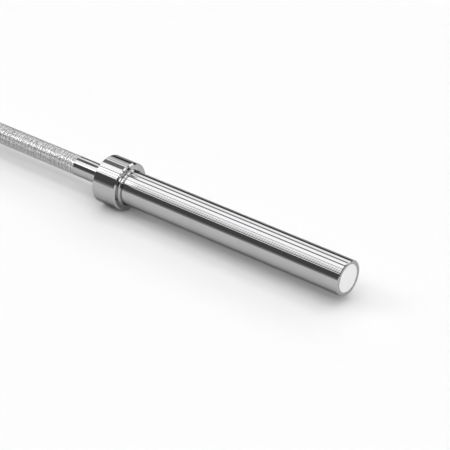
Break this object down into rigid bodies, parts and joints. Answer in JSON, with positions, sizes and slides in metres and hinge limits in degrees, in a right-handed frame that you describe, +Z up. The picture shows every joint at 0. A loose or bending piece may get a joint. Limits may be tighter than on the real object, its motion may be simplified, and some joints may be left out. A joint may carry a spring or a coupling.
{
  "type": "olympic barbell",
  "caption": "Long steel weightlifting bar with a knurled grip and polished sleeves for weight plates, which turn on bushings and needle bearings.",
  "frame": {"origin": "centre of the bar, on its axis, midway between the two sleeves", "axes": "+X along the bar towards the right sleeve, +Z up"},
  "size_m": [2.134, 0.07, 0.07],
  "materials": {
    "shaft_chrome": "polished chrome, knurled where it is held",
    "sleeve_chrome": "polished chrome",
    "collar_chrome": "polished chrome",
    "seal_rubber": "matt black rubber",
    "bearing_steel": "ground steel",
    "bushing_bronze": "turned sintered bronze, oiled",
    "cup_steel": "drawn steel",
    "cage_steel": "stamped steel",
    "needle_steel": "ground and polished bearing steel",
    "spring_steel": "phosphated spring steel",
    "plug_metal": "turned aluminium, satin",
    "disc_white": "white plate, satin, left without printing"
  },
  "bodies": {
    "shaft": {"shaft": "shaft_chrome", "inner_thrust_washer_right": "bearing_steel", "outer_thrust_washer_right": "bearing_steel", "snap_ring_right": "spring_steel", "inner_thrust_washer_left": "bearing_steel", "outer_thrust_washer_left": "bearing_steel", "snap_ring_left": "spring_steel"},
    "sleeve_right": {"sleeve_tube_right": "sleeve_chrome", "collar_right": "collar_chrome", "dust_seal_right": "seal_rubber", "inner_bushing_right": "bushing_bronze", "inner_bearing_cup_right": "cup_steel", "outer_bearing_cup_right": "cup_steel", "outer_bushing_right": "bushing_bronze", "end_plug_right": "plug_metal", "end_disc_right": "disc_white"},
    "inner_cage_right": {"inner_bearing_cage_right": "cage_steel", "inner_bearing_needles_right": "needle_steel"},
    "outer_cage_right": {"outer_bearing_cage_right": "cage_steel", "outer_bearing_needles_right": "needle_steel"},
    "sleeve_left": {"sleeve_tube_left": "sleeve_chrome", "collar_left": "collar_chrome", "dust_seal_left": "seal_rubber", "inner_bushing_left": "bushing_bronze", "inner_bearing_cup_left": "cup_steel", "outer_bearing_cup_left": "cup_steel", "outer_bushing_left": "bushing_bronze", "end_plug_left": "plug_metal", "end_disc_left": "disc_white"},
    "inner_cage_left": {"inner_bearing_cage_left": "cage_steel", "inner_bearing_needles_left": "needle_steel"},
    "outer_cage_left": {"outer_bearing_cage_left": "cage_steel", "outer_bearing_needles_left": "needle_steel"}
  },
  "joints": [
    {"name": "sleeve_spin_right", "type": "hinge", "parent": "shaft", "child": "sleeve_right", "pos_m": [0.861, 0, 0], "axis": [1, 0, 0], "continuous": true},
    {"name": "sleeve_spin_left", "type": "hinge", "parent": "shaft", "child": "sleeve_left", "pos_m": [-0.861, 0, 0], "axis": [1, 0, 0], "continuous": true},
    {"name": "inner_cage_spin_right", "type": "hinge", "parent": "shaft", "child": "inner_cage_right", "pos_m": [0.7112, 0, 0], "axis": [1, 0, 0], "continuous": true},
    {"name": "outer_cage_spin_right", "type": "hinge", "parent": "shaft", "child": "outer_cage_right", "pos_m": [0.991, 0, 0], "axis": [1, 0, 0], "continuous": true},
    {"name": "inner_cage_spin_left", "type": "hinge", "parent": "shaft", "child": "inner_cage_left", "pos_m": [-0.7112, 0, 0], "axis": [1, 0, 0], "continuous": true},
    {"name": "outer_cage_spin_left", "type": "hinge", "parent": "shaft", "child": "outer_cage_left", "pos_m": [-0.991, 0, 0], "axis": [1, 0, 0], "continuous": true}
  ],
  "couplings": [
    {"joint": "inner_cage_spin_right", "follows": "sleeve_spin_right", "ratio": 0.54546},
    {"joint": "outer_cage_spin_right", "follows": "sleeve_spin_right", "ratio": 0.54546},
    {"joint": "inner_cage_spin_left", "follows": "sleeve_spin_left", "ratio": 0.54546},
    {"joint": "outer_cage_spin_left", "follows": "sleeve_spin_left", "ratio": 0.54546}
  ]
}
